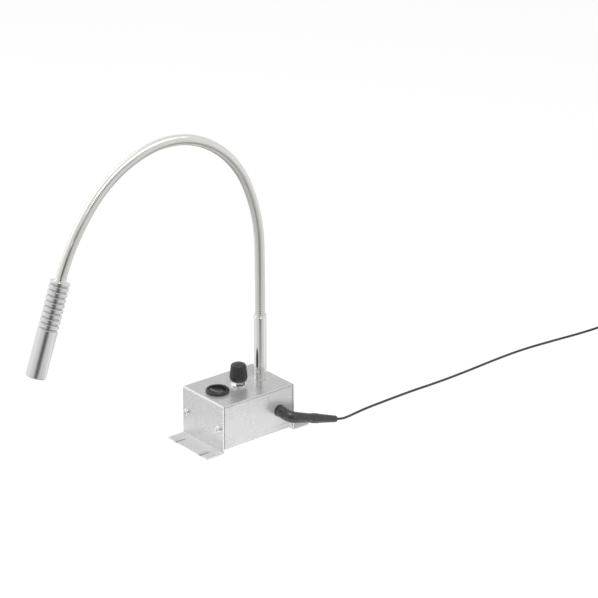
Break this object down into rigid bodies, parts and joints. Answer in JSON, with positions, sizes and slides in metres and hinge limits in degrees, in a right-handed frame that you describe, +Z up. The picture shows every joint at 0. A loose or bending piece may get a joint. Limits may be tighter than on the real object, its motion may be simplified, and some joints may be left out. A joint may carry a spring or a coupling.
{
  "type": "fiber optic illuminator",
  "caption": "Bench spot illuminator: folded metal control box with rocker switch, dimmer knob and slotted feet, gooseneck arm with a finned cylindrical lamp head, and supply cord with adaptor.",
  "frame": {"origin": "centre of the control box's footprint and of its four foot slots, on the surface that the feet stand on", "axes": "+X along the box from the rocker switch towards the arm, -Y out of the front panel with the supply socket, +Z up"},
  "size_m": [0.6609, 0.0957, 0.2547],
  "materials": {
    "panel": "satin",
    "bright_metal": "polished",
    "hose_metal": "satin",
    "lamp_aluminium": "satin",
    "black_plastic": "satin",
    "cord_black": "matte",
    "contact_brass": "satin",
    "circuit_board": "satin",
    "lens_clear": "polished",
    "led_yellow": "gloss",
    "label_white": "matte",
    "wire_grey": "matte"
  },
  "bodies": {
    "base": {"adaptor_case": "black_plastic", "adaptor_prongs": "contact_brass", "arm_collar": "bright_metal", "arm_ferrule": "bright_metal", "arm_nut": "bright_metal", "arm_washer": "bright_metal", "board_screws": "bright_metal", "capacitors": "black_plastic", "case_screws": "bright_metal", "clinch_nuts": "bright_metal", "cord": "cord_black", "cord_coil": "cord_black", "cord_tie": "cord_black", "cover": "panel", "driver_board": "circuit_board", "driver_chip": "black_plastic", "front_label": "label_white", "hose_1": "hose_metal", "inductor": "black_plastic", "inner_leads": "wire_grey", "jack_body": "black_plastic", "jack_contacts": "contact_brass", "jack_nut": "bright_metal", "lamp_lead_1": "wire_grey", "plug_body": "cord_black", "plug_boot": "cord_black", "plug_insulator": "black_plastic", "plug_sleeve": "contact_brass", "pot_body": "bright_metal", "pot_nut": "bright_metal", "pot_terminals": "contact_brass", "pot_washer": "bright_metal", "standoffs": "bright_metal", "switch_housing": "black_plastic", "switch_terminals": "contact_brass", "tray": "panel", "wire_header": "black_plastic"},
    "rocker_body": {"rocker": "black_plastic", "switch_contact": "contact_brass"},
    "knob_body": {"knob": "black_plastic", "pot_shaft": "bright_metal", "pot_wiper": "contact_brass"},
    "arm_2": {"hose_2": "hose_metal", "lamp_lead_2": "wire_grey"},
    "arm_3": {"hose_3": "hose_metal", "lamp_lead_3": "wire_grey"},
    "arm_4": {"hose_4": "hose_metal", "lamp_lead_4": "wire_grey"},
    "arm_5": {"hose_5": "hose_metal", "lamp_lead_5": "wire_grey"},
    "lamp": {"hose_6": "hose_metal", "lamp_lead_6": "wire_grey", "head_neck": "lamp_aluminium", "head_barrel": "lamp_aluminium", "led_board": "lamp_aluminium", "led_chip": "led_yellow", "lens": "lens_clear", "lens_ring": "lamp_aluminium"}
  },
  "joints": [
    {"name": "rocker_tilt", "type": "hinge", "parent": "base", "child": "rocker_body", "pos_m": [-0.0205, 0, 0.0405], "axis": [0, 1, 0], "range_deg": [-24, 0]},
    {"name": "knob_turn", "type": "hinge", "parent": "base", "child": "knob_body", "pos_m": [0, 0, 0.044], "axis": [0, 0, 1], "range_deg": [-150, 150]},
    {"name": "arm_bend_1", "type": "hinge", "parent": "base", "child": "arm_2", "pos_m": [0.02096, 0, 0.14865], "axis": [0, -1, 0], "range_deg": [-40, 12]},
    {"name": "arm_side_1", "type": "hinge", "parent": "arm_2", "child": "arm_3", "pos_m": [0.00812, 0, 0.20339], "axis": [-0.9041, 0, -0.4274], "range_deg": [-30, 30]},
    {"name": "arm_bend_2", "type": "hinge", "parent": "arm_3", "child": "arm_4", "pos_m": [-0.03085, 0, 0.24304], "axis": [0, -1, 0], "range_deg": [-40, 12]},
    {"name": "arm_side_2", "type": "hinge", "parent": "arm_4", "child": "arm_5", "pos_m": [-0.08597, 0, 0.24724], "axis": [0.3024, 0, -0.9532], "range_deg": [-30, 30]},
    {"name": "arm_bend_3", "type": "hinge", "parent": "arm_5", "child": "lamp", "pos_m": [-0.13245, 0, 0.21618], "axis": [0, -1, 0], "range_deg": [-40, 12]}
  ]
}
